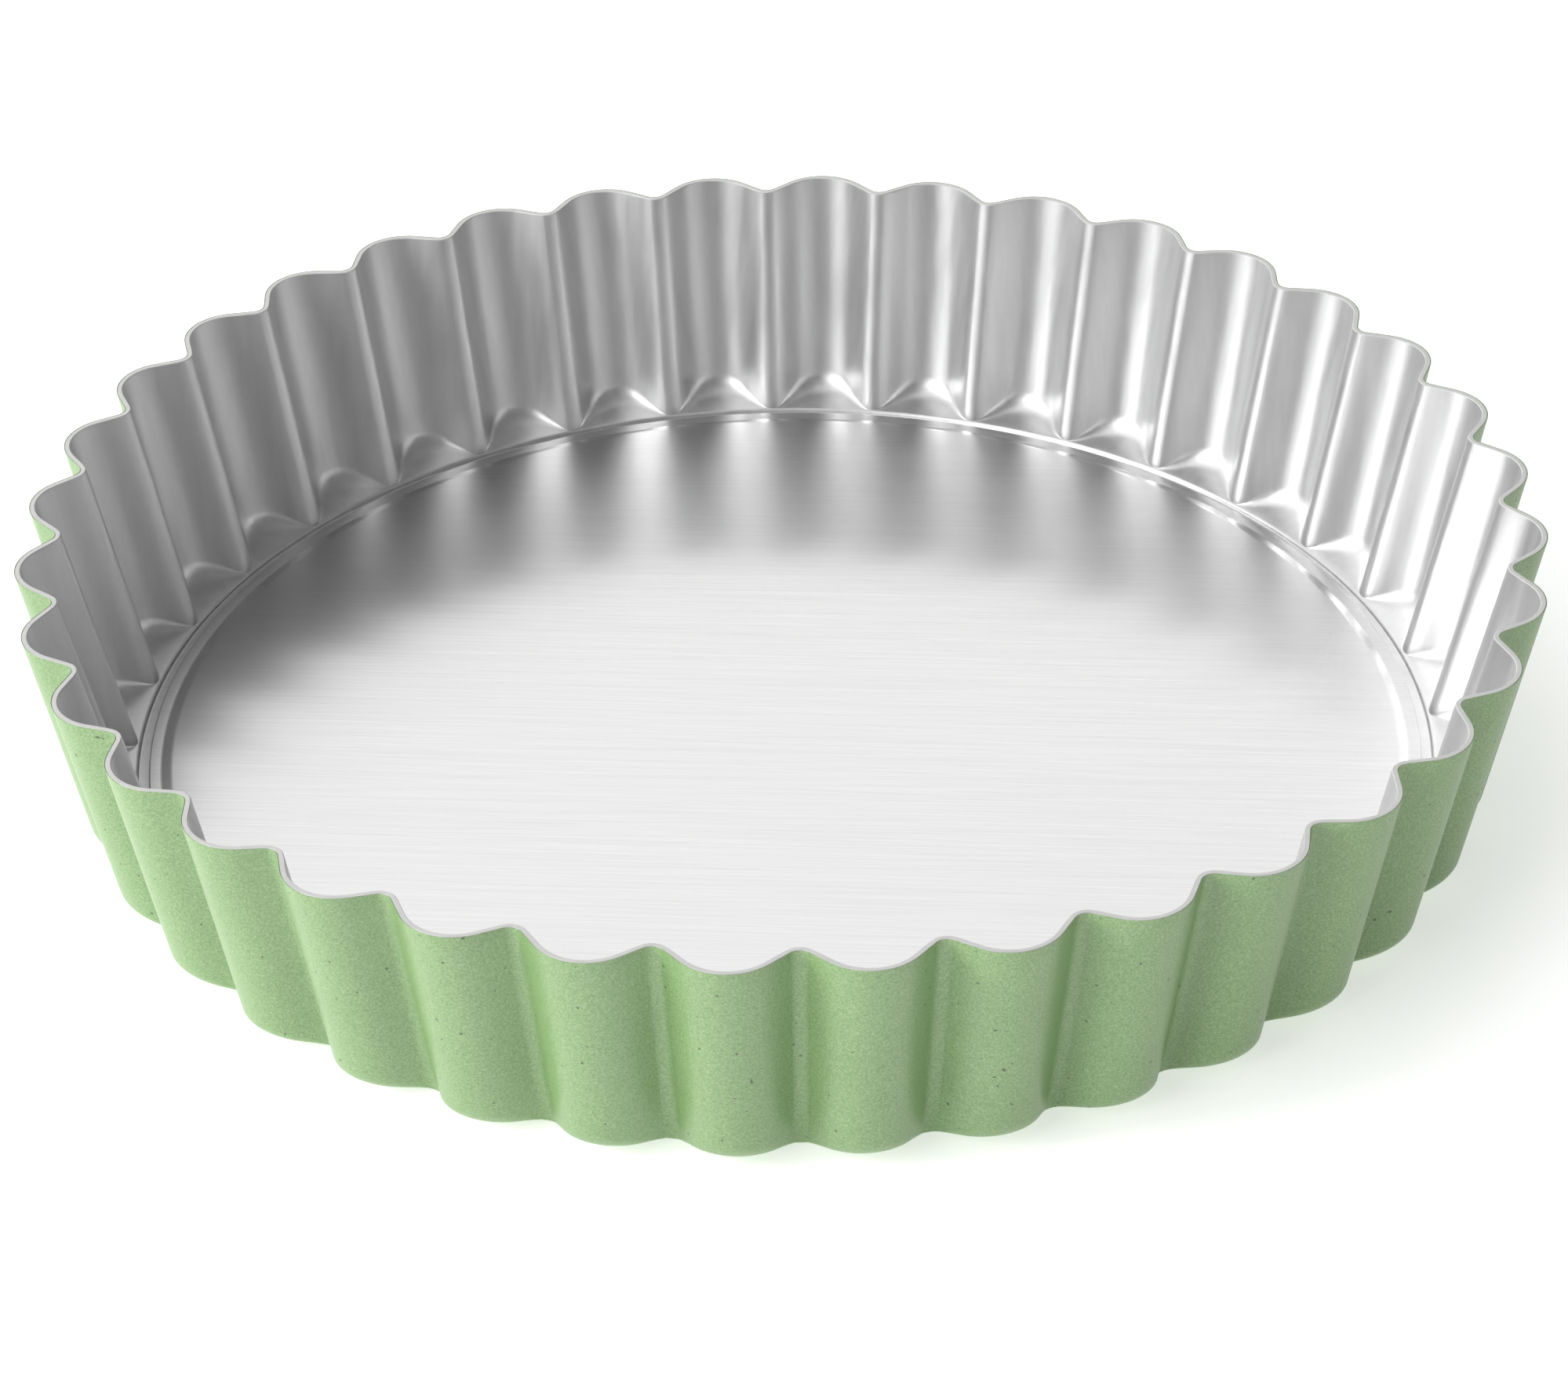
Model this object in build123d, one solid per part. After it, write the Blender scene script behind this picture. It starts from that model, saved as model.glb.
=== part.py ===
from build123d import *
import math
import os

# Fluted tart pan with a loose base: a pressed sheet ring whose narrow inward
# flange carries a lift-out disc. Millimetres, Z up, origin at the centre of the
# underside, one flute crest on +X.

# Sheet and overall size
sheet = 1.0
pan_height = 43.0
flute_count = 36

# Fluted wall. Crests are the outward lobes, valleys the inward folds. Each face
# of the sheet leans outward in a straight line from the foot to the rim.
crest_radius_rim = 125.0
crest_radius_foot = 116.4
valley_radius_rim = 119.2
valley_radius_foot = 110.0
crest_bend_rim = 8.8
crest_bend_foot = 7.6
valley_bend = 2.0

# Flange, the small step around it and the flute floors, inside of the sheet
seat_radius = 108.8
flange_bore_radius = 104.2
step_height = 0.7
step_slope = 70.0
floor_slope = 12.0
floor_bend = 5.0
floor_bend_radius_start = 112.8

# Loose base
base_radius = 107.0
lip_width = 2.0
lip_rise = 0.2
shoulder_width = 1.7
centre_rise = 0.4
shoulder_bend = 1.2
base_edge_break = 0.25

# Tool extents that only have to clear the finished wall
over_travel = 4.0
clear_radius = 140.0


def linear(at_foot, at_rim, height):
    """Value on the straight wall line at a height above the underside."""
    return at_foot + (at_rim - at_foot) * height / pan_height


def on_circle(centre, radius, angle):
    """Point on a circle in the XY plane, angle in degrees."""
    x = centre[0] + radius * math.cos(math.radians(angle))
    y = centre[1] + radius * math.sin(math.radians(angle))
    return (x, y)


def turned(point, angle):
    """Point turned about the pan axis, angle in degrees."""
    reach = math.hypot(point[0], point[1])
    heading = math.degrees(math.atan2(point[1], point[0]))
    return on_circle((0, 0), reach, heading + angle)


def mirrored(point):
    """Point mirrored across the flute's own centre line."""
    return (point[0], -point[1])


def scallop(height, inset):
    """Closed flute outline at a height, moved inward through the sheet by inset."""
    half_pitch = 180.0 / flute_count
    crest_bend = linear(crest_bend_foot, crest_bend_rim, height)
    crest_centre = (linear(crest_radius_foot, crest_radius_rim, height) - crest_bend, 0.0)
    valley_reach = linear(valley_radius_foot, valley_radius_rim, height) + valley_bend
    valley_centre = on_circle((0, 0), valley_reach, half_pitch)
    crest_bend_here = crest_bend - inset
    valley_bend_here = valley_bend + inset

    # The flank is the straight line that touches both bends from opposite sides
    gap_x = valley_centre[0] - crest_centre[0]
    gap_y = valley_centre[1] - crest_centre[1]
    spacing = math.hypot(gap_x, gap_y)
    heading = math.degrees(math.atan2(gap_y, gap_x))
    touch = math.degrees(math.acos((crest_bend_here + valley_bend_here) / spacing))
    normal = heading - touch

    crest_tip = on_circle(crest_centre, crest_bend_here, 0.0)
    crest_end = on_circle(crest_centre, crest_bend_here, normal)
    valley_start = on_circle(valley_centre, valley_bend_here, normal + 180.0)
    valley_tip = on_circle((0, 0), valley_reach - valley_bend_here, half_pitch)
    valley_end = turned(mirrored(valley_start), 2.0 * half_pitch)
    next_crest_start = turned(mirrored(crest_end), 2.0 * half_pitch)

    plane = Plane.XY.offset(height)
    edges = []
    for flute in range(flute_count):
        angle = 2.0 * half_pitch * flute
        tip = plane.from_local_coords(Vector(*turned(crest_tip, angle)))
        start = plane.from_local_coords(Vector(*turned(mirrored(crest_end), angle)))
        end = plane.from_local_coords(Vector(*turned(crest_end, angle)))
        fold_start = plane.from_local_coords(Vector(*turned(valley_start, angle)))
        fold_tip = plane.from_local_coords(Vector(*turned(valley_tip, angle)))
        fold_end = plane.from_local_coords(Vector(*turned(valley_end, angle)))
        next_start = plane.from_local_coords(Vector(*turned(next_crest_start, angle)))
        edges.append(Edge.make_three_point_arc(start, tip, end))
        edges.append(Edge.make_line(end, fold_start))
        edges.append(Edge.make_three_point_arc(fold_start, fold_tip, fold_end))
        edges.append(Edge.make_line(fold_end, next_start))
    return Wire(edges)


def fluted_block(low, high, inset):
    """Solid block with fluted, outward-leaning sides between two heights."""
    return Solid.make_loft([scallop(low, inset), scallop(high, inset)], ruled=True)


def flute_floor_block(inset, floor_height):
    """Turned block whose lower edge forms the flange, the step and the flute floors."""
    steep, slope = math.radians(step_slope), math.radians(floor_slope)
    grow = sheet - inset
    bend = floor_bend + grow
    step_top = seat_radius + step_height / math.tan(steep)
    rise = step_height + (floor_bend_radius_start - step_top) * math.tan(slope)
    centre = (
        floor_bend_radius_start - floor_bend * math.sin(slope),
        sheet + rise + floor_bend * math.cos(slope),
    )
    bend_start = (centre[0] + bend * math.sin(slope), centre[1] - bend * math.cos(slope))
    bend_middle = on_circle(centre, bend, -35.0)
    bend_end = on_circle(centre, bend, 0.0)

    # Corners of the step, moved square to both faces that meet there
    foot = seat_radius + grow * math.tan(steep / 2.0)
    reach = grow / (1.0 + math.cos(steep - slope))
    head = (
        step_top + reach * (math.sin(steep) + math.sin(slope)),
        sheet + step_height - reach * (math.cos(steep) + math.cos(slope)),
    )
    top = pan_height + over_travel
    with BuildPart() as block:
        with BuildSketch(Plane.XZ):
            with BuildLine():
                Polyline((0, top), (0, floor_height), (foot, floor_height), head, bend_start)
                ThreePointArc(bend_start, bend_middle, bend_end)
                Polyline(bend_end, (clear_radius, bend_end[1]), (clear_radius, top), (0, top))
            make_face()
        revolve(axis=Axis.Z)
    return block.part


def make_fluted_ring():
    outside = fluted_block(0.0, pan_height, 0.0) & flute_floor_block(0.0, 0.0)
    cavity = fluted_block(-over_travel, pan_height + over_travel, sheet)
    cavity = cavity & flute_floor_block(sheet, sheet)
    bore = Pos(0, 0, -over_travel) * extrude(Circle(flange_bore_radius), 3.0 * over_travel)
    return outside - cavity - bore


def make_loose_base():
    rest = sheet
    groove_radius = base_radius - lip_width
    centre_radius = groove_radius - shoulder_width
    with BuildPart() as base:
        with BuildSketch(Plane.XZ):
            with BuildLine():
                Polyline(
                    (0, rest + centre_rise),
                    (centre_radius, rest + centre_rise),
                    (groove_radius, rest),
                    (base_radius, rest + lip_rise),
                    (base_radius, rest + sheet + lip_rise),
                    (groove_radius, rest + sheet),
                    (centre_radius, rest + sheet + centre_rise),
                    (0, rest + sheet + centre_rise),
                    close=True,
                )
            make_face()
        revolve(axis=Axis.Z)
        rims = base.edges().filter_by(GeomType.CIRCLE)
        outer_rims = rims.filter_by(lambda edge: abs(edge.radius - base_radius) < base_edge_break)
        shoulder_rims = rims.filter_by(lambda edge: edge.radius < base_radius - base_edge_break)
        fillet(shoulder_rims, shoulder_bend)
        fillet(outer_rims, base_edge_break)
    return base.part


os.makedirs("parts", exist_ok=True)
nodes = {
    "fluted_ring": make_fluted_ring(),
    "loose_base": make_loose_base(),
}
for name, shape in nodes.items():
    export_step(shape, os.path.join("parts", name + ".step"))
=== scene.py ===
import math

import bpy
from mathutils import Matrix, Vector


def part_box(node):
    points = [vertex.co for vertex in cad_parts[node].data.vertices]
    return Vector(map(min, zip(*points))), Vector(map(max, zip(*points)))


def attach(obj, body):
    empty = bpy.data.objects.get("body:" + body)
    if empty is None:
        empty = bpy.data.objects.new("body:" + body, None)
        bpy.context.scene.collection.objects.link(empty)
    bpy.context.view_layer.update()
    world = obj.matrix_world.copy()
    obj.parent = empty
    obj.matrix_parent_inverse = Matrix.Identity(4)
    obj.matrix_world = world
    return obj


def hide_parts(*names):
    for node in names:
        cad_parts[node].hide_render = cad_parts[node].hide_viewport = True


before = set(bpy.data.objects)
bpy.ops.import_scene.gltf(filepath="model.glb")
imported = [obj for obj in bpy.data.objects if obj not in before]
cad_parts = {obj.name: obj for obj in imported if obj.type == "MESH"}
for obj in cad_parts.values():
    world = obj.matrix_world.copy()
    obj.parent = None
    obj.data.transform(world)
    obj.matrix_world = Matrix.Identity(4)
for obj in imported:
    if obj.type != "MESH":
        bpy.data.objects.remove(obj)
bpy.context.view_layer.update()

# Sizes in metres, taken from the frame where it has them
_, ring_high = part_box("fluted_ring")
_, base_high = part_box("loose_base")
HEIGHT = ring_high.z
CREST_RIM = ring_high.x
BASE_RADIUS = base_high.x
SHEET = 0.001
FLUTES = 36
# Angle from a crest to the next valley
HALF_PITCH = math.pi / FLUTES

# Fluted wall, outer face of the sheet at the foot and at the rim
CREST_FOOT = 0.1164
VALLEY_RIM = 0.1192
VALLEY_FOOT = 0.1100
CREST_BEND_RIM = 0.0088
CREST_BEND_FOOT = 0.0076
VALLEY_BEND = 0.0020

# Flange, the small step around it and the flute floors, inner face of the sheet
SEAT_RADIUS = 0.1088
BORE_RADIUS = 0.1042
STEP_HEIGHT = 0.0007
STEP_SLOPE = math.radians(70.0)
STEP_FOOT_BEND = 0.0003
STEP_HEAD_BEND = 0.0007
FLOOR_SLOPE = math.radians(12.0)
FLOOR_BEND = 0.0052
# Radius of a short floor's bend, for each metre of the floor's run
SHORT_BEND = 1.15

# Enamel thickness; break of the rim's edges and the largest share of a layer's width that it takes
ENAMEL = 0.00010
EDGE_BREAK = 0.00012
EDGE_SHARE = 0.3

# Loose base: lip, groove, shoulder and raised centre, with the bends between them
LIP_WIDTH = 0.0020
LIP_RISE = 0.0002
LIP_BEND = 0.00025
GROOVE_BEND = 0.0015
SHOULDER_WIDTH = 0.0017
CENTRE_RISE = 0.0004
CENTRE_BEND = 0.0030
# Turn of the brushed grain's reflections from the X axis
GRAIN_TURN = math.radians(4.23)

# Steps that divide the flute's outline, the wall's section and the disc
OUTLINE_BEND_STEPS = 6
OUTLINE_FLANK_STEPS = 3
FLANGE_STEPS = 3
STEP_FOOT_STEPS = 4
STEP_HEAD_STEPS = 5
FLOOR_STEPS = 3
FLOOR_BEND_STEPS = 10
WALL_STEPS = 12
DISC_BEND_STEPS = 5
DISC_COLUMNS = 360
# Rings of points on the disc's flat middle, as shares of its radius
DISC_RINGS = (0.02, 0.3, 0.6, 0.85, 0.95)
# Faces that meet at more than this angle are shaded with a sharp edge
CREASE = math.radians(32.0)


# ---------------------------------------------------------------- mesh helpers
def link_mesh(name, vertices, faces, body, material):
    """Smooth closed mesh that rides on a body."""
    mesh = bpy.data.meshes.new(name)
    mesh.from_pydata([tuple(v) for v in vertices], [], faces)
    mesh.materials.append(material)
    mesh.polygons.foreach_set("use_smooth", [True] * len(mesh.polygons))
    mesh.set_sharp_from_angle(angle=CREASE)
    mesh.update()
    piece = bpy.data.objects.new(name, mesh)
    bpy.context.scene.collection.objects.link(piece)
    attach(piece, body)
    return piece


def grid_faces(rows, columns, close_rows):
    """Quads of a grid whose columns close on themselves, and its rows too if asked."""
    faces = []
    last_row = rows if close_rows else rows - 1
    for row in range(last_row):
        upper = (row + 1) % rows
        for column in range(columns):
            right = (column + 1) % columns
            faces.append((
                row * columns + column,
                row * columns + right,
                upper * columns + right,
                upper * columns + column,
            ))
    return faces


# ---------------------------------------------------------------- flute outline
def flute_marks(crest, crest_bend, valley, inset):
    """Centres, bends and touching points of the two bends of half a flute, and their shared normal."""
    crest_x = crest - crest_bend
    reach = valley + VALLEY_BEND
    valley_x = reach * math.cos(HALF_PITCH)
    valley_y = reach * math.sin(HALF_PITCH)
    near = crest_bend - inset
    far = VALLEY_BEND + inset
    gap_x = valley_x - crest_x
    spacing = math.hypot(gap_x, valley_y)
    normal = math.atan2(valley_y, gap_x) - math.acos((near + far) / spacing)
    start = (crest_x + near * math.cos(normal), near * math.sin(normal))
    end = (valley_x - far * math.cos(normal), valley_y - far * math.sin(normal))
    return crest_x, reach, near, far, normal, start, end


def flute_angles():
    """Angles from the crest to the valley, closer together where the sheet bends."""
    marks = flute_marks(CREST_RIM, CREST_BEND_RIM, VALLEY_RIM, 0.0)
    crest_x, reach, near, far, normal, start, end = marks
    angles = []
    for step in range(OUTLINE_BEND_STEPS):
        turn = normal * step / OUTLINE_BEND_STEPS
        angles.append(math.atan2(near * math.sin(turn), crest_x + near * math.cos(turn)))
    for step in range(OUTLINE_FLANK_STEPS):
        share = step / OUTLINE_FLANK_STEPS
        x = start[0] + (end[0] - start[0]) * share
        y = start[1] + (end[1] - start[1]) * share
        angles.append(math.atan2(y, x))
    for step in range(OUTLINE_BEND_STEPS):
        turn = normal + (HALF_PITCH - normal) * step / OUTLINE_BEND_STEPS
        x = reach * math.cos(HALF_PITCH) - far * math.cos(turn)
        y = reach * math.sin(HALF_PITCH) - far * math.sin(turn)
        angles.append(math.atan2(y, x))
    return angles


def flute_radius(angle, crest, crest_bend, valley, inset):
    """Radius of the sheet's face at an angle from the crest line."""
    marks = flute_marks(crest, crest_bend, valley, inset)
    crest_x, reach, near, far, normal, start, end = marks
    if angle <= math.atan2(start[1], start[0]):
        return crest_x * math.cos(angle) + math.sqrt(near ** 2 - (crest_x * math.sin(angle)) ** 2)
    if angle >= math.atan2(end[1], end[0]):
        swing = HALF_PITCH - angle
        return reach * math.cos(swing) - math.sqrt(far ** 2 - (reach * math.sin(swing)) ** 2)
    facing = math.cos(normal) * start[0] + math.sin(normal) * start[1]
    return facing / math.cos(angle - normal)


# ---------------------------------------------------------------- flute section
def bend_points(corner, before, after, radius, steps):
    """Points on the arc of a radius that rounds a corner between two directions."""
    before, after = before.normalized(), after.normalized()
    turn = before.angle(after)
    tangent = radius * math.tan(turn / 2)
    start = corner - before * tangent
    middle = (after - before).normalized()
    centre = corner + middle * (radius / math.cos(turn / 2))
    arm = start - centre
    side = 1.0 if before.x * after.y - before.y * after.x > 0 else -1.0
    points = []
    for step in range(steps + 1):
        swing = side * turn * step / steps
        cosine = math.cos(swing)
        sine = math.sin(swing)
        turned = Vector((arm.x * cosine - arm.y * sine, arm.x * sine + arm.y * cosine))
        points.append(centre + turned)
    return points


def step_corners(inset):
    """Foot and head of the step around the flange on the sheet's face."""
    grow = SHEET - inset
    foot = Vector((SEAT_RADIUS + grow * math.tan(STEP_SLOPE / 2), inset))
    reach = grow / (1 + math.cos(STEP_SLOPE - FLOOR_SLOPE))
    head = Vector((
        SEAT_RADIUS + STEP_HEIGHT / math.tan(STEP_SLOPE),
        SHEET + STEP_HEIGHT,
    ))
    head += reach * Vector((
        math.sin(STEP_SLOPE) + math.sin(FLOOR_SLOPE),
        -math.cos(STEP_SLOPE) - math.cos(FLOOR_SLOPE),
    ))
    return foot, head


def wall_section(angle, inset):
    """Radius and height points of the sheet's face, from the bore to the rim."""
    wall_foot = flute_radius(angle, CREST_FOOT, CREST_BEND_FOOT, VALLEY_FOOT, inset)
    rim = flute_radius(angle, CREST_RIM, CREST_BEND_RIM, VALLEY_RIM, inset)
    grow = SHEET - inset
    foot, head = step_corners(inset)
    lean = (rim - wall_foot) / HEIGHT
    rise = math.tan(FLOOR_SLOPE)
    cross = (wall_foot + lean * (head.y - head.x * rise)) / (1 - lean * rise)
    corner = Vector((cross, head.y + (cross - head.x) * rise))
    flat_way = Vector((1.0, 0.0))
    step_way = Vector((math.cos(STEP_SLOPE), math.sin(STEP_SLOPE)))
    floor_way = Vector((math.cos(FLOOR_SLOPE), math.sin(FLOOR_SLOPE)))
    wall_way = Vector((lean, 1.0))

    # The step's head bend and the flute's floor bend share the floor between them
    foot_bend = bend_points(foot, flat_way, step_way, STEP_FOOT_BEND + grow, STEP_FOOT_STEPS)
    head_radius = STEP_HEAD_BEND - grow / 2
    head_bend = bend_points(head, step_way, floor_way, head_radius, STEP_HEAD_STEPS)
    run = (corner - head_bend[-1]).length
    full = FLOOR_BEND + grow
    radius = full * math.tanh(SHORT_BEND * run / full)
    arc = bend_points(corner, floor_way, wall_way, radius, FLOOR_BEND_STEPS)
    flange_run = foot_bend[0].x - BORE_RADIUS
    points = []
    for step in range(FLANGE_STEPS):
        points.append(Vector((BORE_RADIUS + flange_run * step / FLANGE_STEPS, inset)))
    points += foot_bend + head_bend
    for step in range(1, FLOOR_STEPS):
        points.append(head_bend[-1] + (arc[0] - head_bend[-1]) * step / FLOOR_STEPS)
    points += arc
    top = Vector((rim, HEIGHT))
    for step in range(1, WALL_STEPS + 1):
        points.append(arc[-1] + (top - arc[-1]) * step / WALL_STEPS)
    return points


def broken_edges(outer, inner):
    """Takes the sharp corners off the rim of a shell's two faces."""
    for face, other in ((outer, inner), (inner, outer)):
        edge = []
        lowered = []
        for point, across, below in zip(face[-1], other[-1], face[-2]):
            share = min(EDGE_SHARE, EDGE_BREAK / math.dist(point, across))
            edge.append(tuple(p + (a - p) * share for p, a in zip(point, across)))
            fall = EDGE_BREAK / (point[2] - below[2])
            lowered.append(tuple(p + (b - p) * fall for p, b in zip(point, below)))
        yield face[:-1] + [lowered, edge]


def ring_rows(inset):
    """Rows of ring points, one row for each step of the section."""
    half = flute_angles()
    sections = [wall_section(angle, inset) for angle in half]
    valley = wall_section(HALF_PITCH, inset)
    columns = []
    for flute in range(FLUTES):
        middle = 2 * HALF_PITCH * flute
        for angle, section in zip(half, sections):
            columns.append((middle + angle, section))
        columns.append((middle + HALF_PITCH, valley))
        for angle, section in zip(half[:0:-1], sections[:0:-1]):
            columns.append((middle + 2 * HALF_PITCH - angle, section))
    rows = []
    for step in range(len(valley)):
        row = []
        for angle, section in columns:
            point = section[step]
            row.append((point.x * math.cos(angle), point.x * math.sin(angle), point.y))
        rows.append(row)
    return rows


def shell(name, outer_inset, inner_inset, material):
    """Closed ring of sheet between two insets from the outer face."""
    outer, inner = broken_edges(ring_rows(outer_inset), ring_rows(inner_inset))
    rows = outer + inner[::-1]
    vertices = [point for row in rows for point in row]
    faces = grid_faces(len(rows), len(rows[0]), True)
    return link_mesh(name, vertices, faces, "ring", material)


# ---------------------------------------------------------------- loose base
def disc_section():
    """Closed section of the pressed disc, from its middle over the top and back."""
    groove = BASE_RADIUS - LIP_WIDTH
    centre = groove - SHOULDER_WIDTH
    flat = Vector((1, 0))
    fall = Vector((SHOULDER_WIDTH, -CENTRE_RISE))
    climb = Vector((LIP_WIDTH, LIP_RISE))
    down = Vector((0, -1))
    sides = []
    for level, sign in ((2 * SHEET, 1.0), (SHEET, -1.0)):
        bends = (
            (Vector((centre, level + CENTRE_RISE)), flat, fall, CENTRE_BEND),
            (Vector((groove, level)), fall, climb, GROOVE_BEND),
            (Vector((BASE_RADIUS, level + LIP_RISE)), climb, sign * down, LIP_BEND),
        )
        points = [Vector((share * centre, level + CENTRE_RISE)) for share in DISC_RINGS]
        for corner, before, after, radius in bends:
            points += bend_points(corner, before, after, radius, DISC_BEND_STEPS)
        sides.append(points)
    top, underside = sides
    return top + underside[::-1]


def make_base(material):
    """Turned disc, with texture coordinates that run along its brushed grain."""
    section = disc_section()
    vertices = []
    for point in section:
        for column in range(DISC_COLUMNS):
            angle = 2 * math.pi * column / DISC_COLUMNS
            vertices.append((point.x * math.cos(angle), point.x * math.sin(angle), point.y))
    faces = grid_faces(len(section), DISC_COLUMNS, False)
    faces = [face[::-1] for face in faces]
    faces.append(tuple(range(DISC_COLUMNS)))
    last = (len(section) - 1) * DISC_COLUMNS
    faces.append(tuple(range(last + DISC_COLUMNS - 1, last - 1, -1)))
    piece = link_mesh("loose_base_disc", vertices, faces, "base", material)
    layer = piece.data.uv_layers.new(name="grain")
    cosine = math.cos(GRAIN_TURN)
    sine = math.sin(GRAIN_TURN)
    for loop in piece.data.loops:
        point = piece.data.vertices[loop.vertex_index].co
        along = point.x * cosine + point.y * sine
        aside = point.y * cosine - point.x * sine
        layer.data[loop.index].uv = (along, aside)
    return piece


# ---------------------------------------------------------------- materials
# Enamel: grain from dark to light, faint clouds and sparse dark specks
GREEN_DARK = (0.115, 0.231, 0.065)
GREEN_MIDDLE = (0.178, 0.301, 0.112)
GREEN_LIGHT = (0.277, 0.393, 0.192)
CLOUD_SHADE = (0.94, 0.95, 0.93)
SPECK_SHADE = (0.20, 0.24, 0.17)
ENAMEL_IOR = 1.8
ENAMEL_ROUGHNESS = (0.36, 0.46)

# Bare aluminium, and the dull cut edge over the last part of the wall's height
SATIN_DARK = (0.66, 0.66, 0.665)
SATIN_LIGHT = (0.73, 0.73, 0.73)
SATIN_ROUGHNESS = (0.38, 0.46)
CUT_EDGE_SHADE = (0.78, 0.78, 0.76)
CUT_EDGE_METALLIC = 0.10
CUT_EDGE_START = 0.00020
CUT_EDGE_FULL = 0.00008

# Brushed disc, whose straight grain fades over a narrow band where the lip begins
BRUSHED_DARK = (0.60, 0.60, 0.60)
BRUSHED_LIGHT = (0.66, 0.66, 0.658)
GRAIN_FADE = 0.0004
GRAIN_ANISOTROPY = 0.9
GRAIN_ROUGHNESS = 0.24
LIP_ANISOTROPY = 0.2
LIP_ROUGHNESS = 0.38

WHITE = (1.0, 1.0, 1.0)


class Nodes:
    """Small helper that adds nodes and links to one material."""

    def __init__(self, name):
        self.material = bpy.data.materials.new(name)
        self.material.use_nodes = True
        self.tree = self.material.node_tree
        self.shader = self.tree.nodes["Principled BSDF"]

    def add(self, kind, **values):
        node = self.tree.nodes.new(kind)
        for key, value in values.items():
            setattr(node, key, value)
        return node

    def link(self, source, target):
        self.tree.links.new(source, target)

    def place(self, scale, turn=0.0):
        """Object coordinates, scaled and then turned about Z."""
        where = self.add("ShaderNodeTexCoord")
        placed = self.add("ShaderNodeMapping", vector_type="POINT")
        placed.inputs["Scale"].default_value = scale
        placed.inputs["Rotation"].default_value = (0, 0, turn)
        self.link(where.outputs["Object"], placed.inputs["Vector"])
        return placed.outputs["Vector"]

    def axis_distance(self):
        """Distance from the pan's axis."""
        length = self.add("ShaderNodeVectorMath", operation="LENGTH")
        self.link(self.place((1, 1, 0)), length.inputs[0])
        return length.outputs["Value"]

    def rim_share(self, below, at_rim):
        """Value that changes over the cut edge at the very top of the wall."""
        where = self.add("ShaderNodeTexCoord")
        split = self.add("ShaderNodeSeparateXYZ")
        self.link(where.outputs["Object"], split.inputs["Vector"])
        start = HEIGHT - CUT_EDGE_START
        full = HEIGHT - CUT_EDGE_FULL
        return self.span(split.outputs["Z"], start, full, below, at_rim)

    def noise(self, vector, scale, detail, rough):
        node = self.add("ShaderNodeTexNoise")
        node.inputs["Scale"].default_value = scale
        node.inputs["Detail"].default_value = detail
        node.inputs["Roughness"].default_value = rough
        self.link(vector, node.inputs["Vector"])
        return node.outputs["Fac"]

    def ramp(self, value, stops):
        node = self.add("ShaderNodeValToRGB")
        elements = node.color_ramp.elements
        while len(elements) < len(stops):
            elements.new(0.5)
        for element, (position, colour) in zip(elements, stops):
            element.position = position
            element.color = (*colour, 1.0)
        self.link(value, node.inputs["Fac"])
        return node.outputs["Color"]

    def span(self, value, low, high, to_low, to_high):
        node = self.add("ShaderNodeMapRange")
        for key, number in (("From Min", low), ("From Max", high), ("To Min", to_low), ("To Max", to_high)):
            node.inputs[key].default_value = number
        self.link(value, node.inputs["Value"])
        return node.outputs["Result"]

    def multiply(self, first, second):
        node = self.add("ShaderNodeMix", data_type="RGBA", blend_type="MULTIPLY")
        node.inputs["Factor"].default_value = 1.0
        self.link(first, node.inputs["A"])
        self.link(second, node.inputs["B"])
        return node.outputs["Result"]

    def bump(self, height, strength, distance):
        node = self.add("ShaderNodeBump")
        node.inputs["Strength"].default_value = strength
        node.inputs["Distance"].default_value = distance
        self.link(height, node.inputs["Height"])
        return node.outputs["Normal"]


def green_enamel():
    nodes = Nodes("green_enamel")
    where = nodes.place((1, 1, 1))
    grain = nodes.noise(where, scale=3000.0, detail=2.0, rough=0.6)
    cloud = nodes.noise(where, scale=60.0, detail=3.0, rough=0.55)
    specks = nodes.noise(where, scale=1100.0, detail=0.0, rough=0.5)
    green = nodes.ramp(grain, [(0.30, GREEN_DARK), (0.50, GREEN_MIDDLE), (0.72, GREEN_LIGHT)])
    tint = nodes.ramp(cloud, [(0.35, CLOUD_SHADE), (0.70, WHITE)])
    dark = nodes.ramp(specks, [(0.830, WHITE), (0.850, SPECK_SHADE)])
    toned = nodes.multiply(green, tint)
    nodes.link(nodes.multiply(toned, dark), nodes.shader.inputs["Base Color"])
    nodes.link(nodes.span(grain, 0.3, 0.7, *ENAMEL_ROUGHNESS), nodes.shader.inputs["Roughness"])
    nodes.shader.inputs["Metallic"].default_value = 0.0
    nodes.shader.inputs["IOR"].default_value = ENAMEL_IOR
    nodes.link(nodes.bump(grain, strength=0.25, distance=0.00004), nodes.shader.inputs["Normal"])
    return nodes.material


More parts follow.
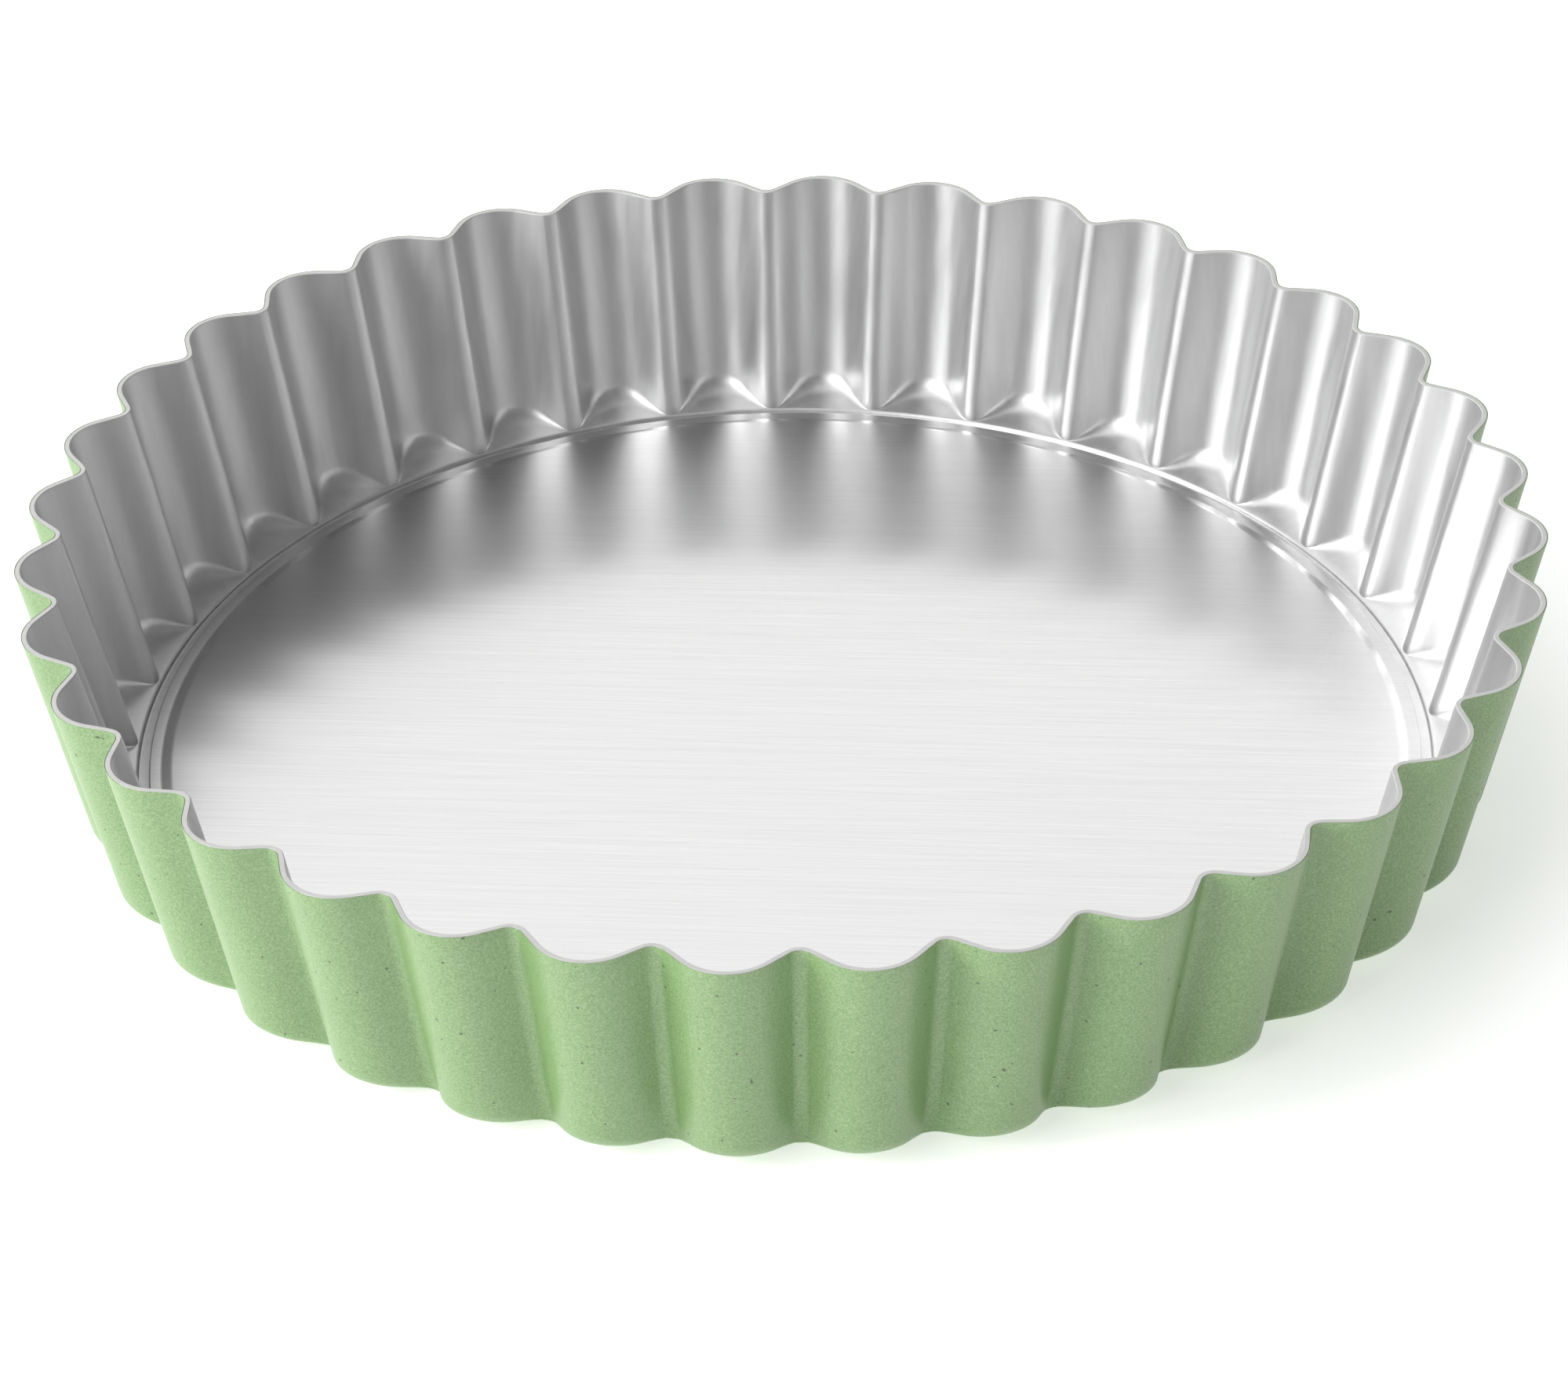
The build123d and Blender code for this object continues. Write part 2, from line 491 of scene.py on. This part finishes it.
def bare_sheet():
    nodes = Nodes("satin_aluminium")
    grain = nodes.noise(nodes.place((1, 1, 1)), scale=2600.0, detail=3.0, rough=0.6)
    streaks = nodes.noise(nodes.place((420, 420, 16)), scale=1.0, detail=3.0, rough=0.55)
    metal = nodes.ramp(streaks, [(0.3, SATIN_DARK), (0.7, SATIN_LIGHT)])
    dull = nodes.ramp(nodes.rim_share(0.0, 1.0), [(0.0, WHITE), (1.0, CUT_EDGE_SHADE)])
    nodes.link(nodes.multiply(metal, dull), nodes.shader.inputs["Base Color"])
    nodes.link(nodes.rim_share(1.0, CUT_EDGE_METALLIC), nodes.shader.inputs["Metallic"])
    nodes.link(nodes.span(streaks, 0.25, 0.75, *SATIN_ROUGHNESS), nodes.shader.inputs["Roughness"])
    nodes.link(nodes.bump(grain, strength=0.3, distance=0.00004), nodes.shader.inputs["Normal"])
    return nodes.material


def brushed_disc():
    nodes = Nodes("brushed_aluminium")
    # Scaled before it is turned, so the streaks run along X and the turn only moves the pattern
    lines = nodes.place((14, 900, 900), -GRAIN_TURN)
    fine = nodes.noise(lines, scale=3.0, detail=4.0, rough=0.6)
    metal = nodes.ramp(fine, [(0.3, BRUSHED_DARK), (0.7, BRUSHED_LIGHT)])
    nodes.link(metal, nodes.shader.inputs["Base Color"])
    nodes.shader.inputs["Metallic"].default_value = 1.0
    reach = nodes.axis_distance()
    lip = BASE_RADIUS - LIP_WIDTH
    fade = lip - GRAIN_FADE
    pull = nodes.span(reach, fade, lip, GRAIN_ANISOTROPY, LIP_ANISOTROPY)
    rough = nodes.span(reach, fade, lip, GRAIN_ROUGHNESS, LIP_ROUGHNESS)
    nodes.link(pull, nodes.shader.inputs["Anisotropic"])
    nodes.link(rough, nodes.shader.inputs["Roughness"])
    nodes.link(nodes.bump(fine, strength=0.06, distance=0.00003), nodes.shader.inputs["Normal"])
    way = nodes.add("ShaderNodeTangent", direction_type="UV_MAP", uv_map="grain")
    nodes.link(way.outputs["Tangent"], nodes.shader.inputs["Tangent"])
    return nodes.material


# ---------------------------------------------------------------- the pan
enamel = green_enamel()
bare = bare_sheet()
brushed = brushed_disc()

metal_ring = shell("ring_bare_sheet", ENAMEL, SHEET, bare)
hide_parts("fluted_ring")
shell("ring_enamel_skin", 0.0, ENAMEL, enamel)
base_disc = make_base(brushed)
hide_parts("loose_base")


# ---------------------------------------------------------------- stage
# Floor: half its width, its height just under the pan, its colour and the light it gives off
FLOOR_REACH = 3.0
FLOOR_LEVEL = -0.0001
FLOOR_COLOUR = (0.92, 0.92, 0.92)
FLOOR_ROUGHNESS = 0.9
FLOOR_GLOW = 0.54

# Camera about the middle of the rim circle, with its lens and sensor in millimetres
CAMERA_AZIMUTH = math.radians(-85.77)
CAMERA_ELEVATION = math.radians(30.95)
CAMERA_DISTANCE = 5.8078 * CREST_RIM
CAMERA_TILT = math.radians(2.327)
CAMERA_ROLL = math.radians(-0.947)
CAMERA_LENS = 101.36
CAMERA_SENSOR = 36.0


def make_floor():
    nodes = Nodes("floor_white")
    nodes.shader.inputs["Base Color"].default_value = (*FLOOR_COLOUR, 1.0)
    nodes.shader.inputs["Roughness"].default_value = FLOOR_ROUGHNESS
    nodes.shader.inputs["Emission Color"].default_value = (*WHITE, 1.0)
    nodes.shader.inputs["Emission Strength"].default_value = FLOOR_GLOW
    mesh = bpy.data.meshes.new("floor")
    signs = ((-1, -1), (1, -1), (1, 1), (-1, 1))
    corners = [(x * FLOOR_REACH, y * FLOOR_REACH, FLOOR_LEVEL) for x, y in signs]
    mesh.from_pydata(corners, [], [(0, 1, 2, 3)])
    mesh.materials.append(nodes.material)
    floor = bpy.data.objects.new("floor", mesh)
    bpy.context.scene.collection.objects.link(floor)


def soft_light(name, place, aim, size, power):
    """Rectangular area light that faces a point."""
    data = bpy.data.lights.new(name, "AREA")
    data.shape = "RECTANGLE"
    data.size, data.size_y = size
    data.energy = power
    lamp = bpy.data.objects.new(name, data)
    lamp.location = place
    ahead = Vector(aim) - Vector(place)
    lamp.rotation_euler = ahead.to_track_quat("-Z", "Y").to_euler()
    bpy.context.scene.collection.objects.link(lamp)


def make_world(base, lobes):
    """Pale studio surround: a base level with soft bright areas.

    Each area has a direction, the cosines of the angles from it where the area begins and where it
    is full, and the strength that it adds.
    """
    world = bpy.data.worlds.new("studio")
    world.use_nodes = True
    tree = world.node_tree
    backdrop = tree.nodes["Background"]
    backdrop.inputs["Color"].default_value = (*WHITE, 1.0)
    where = tree.nodes.new("ShaderNodeTexCoord")
    level = None
    for direction, edge, full, amount in lobes:
        facing = tree.nodes.new("ShaderNodeVectorMath")
        facing.operation = "DOT_PRODUCT"
        facing.inputs[1].default_value = Vector(direction).normalized()
        tree.links.new(where.outputs["Generated"], facing.inputs[0])
        span = tree.nodes.new("ShaderNodeMapRange")
        span.interpolation_type = "SMOOTHSTEP"
        for key, number in (("From Min", edge), ("From Max", full), ("To Min", 0.0), ("To Max", amount)):
            span.inputs[key].default_value = number
        tree.links.new(facing.outputs["Value"], span.inputs["Value"])
        total = tree.nodes.new("ShaderNodeMath")
        total.operation = "ADD"
        total.inputs[1].default_value = base
        tree.links.new(span.outputs["Result"], total.inputs[0])
        if level is not None:
            tree.links.new(level, total.inputs[1])
        level = total.outputs["Value"]
    tree.links.new(level, backdrop.inputs["Strength"])
    bpy.context.scene.world = world


def make_camera():
    """Camera turned down from the rim's centre by its tilt and then rolled about its view."""
    out = Vector((
        math.cos(CAMERA_ELEVATION) * math.cos(CAMERA_AZIMUTH),
        math.cos(CAMERA_ELEVATION) * math.sin(CAMERA_AZIMUTH),
        math.sin(CAMERA_ELEVATION),
    ))
    ahead = -out
    right = ahead.cross(Vector((0, 0, 1))).normalized()
    up = right.cross(ahead)
    ahead, up = (
        ahead * math.cos(CAMERA_TILT) - up * math.sin(CAMERA_TILT),
        up * math.cos(CAMERA_TILT) + ahead * math.sin(CAMERA_TILT),
    )
    right, up = (
        right * math.cos(CAMERA_ROLL) + up * math.sin(CAMERA_ROLL),
        up * math.cos(CAMERA_ROLL) - right * math.sin(CAMERA_ROLL),
    )
    data = bpy.data.cameras.new("main_view")
    data.sensor_width = CAMERA_SENSOR
    data.lens = CAMERA_LENS
    camera = bpy.data.objects.new("main_view", data)
    turn = Matrix((right, up, -ahead)).transposed().to_4x4()
    place = Vector((0, 0, HEIGHT)) + out * CAMERA_DISTANCE
    camera.matrix_world = Matrix.Translation(place) @ turn
    bpy.context.scene.collection.objects.link(camera)
    bpy.context.scene.camera = camera


make_floor()
left_side = ((-1.0, -0.10, 0.20), 0.10, 0.90, 0.70)
far_side = ((-0.20, 0.84, 0.50), 0.80, 0.95, 1.15)
make_world(base=0.21, lobes=(left_side, far_side))
middle = (0, 0, 0.02)
soft_light("left", place=(-1.0, -0.46, 0.72), aim=middle, size=(0.38, 0.38), power=6.0)
soft_light("front_left", place=(-1.20, -1.00, 0.80), aim=middle, size=(1.40, 1.40), power=18.0)
soft_light("overhead", place=(-0.5, 0.0, 1.5), aim=(0, 0, 0), size=(1.0, 1.0), power=3.0)
make_camera()
bpy.context.scene.view_settings.view_transform = "Standard"
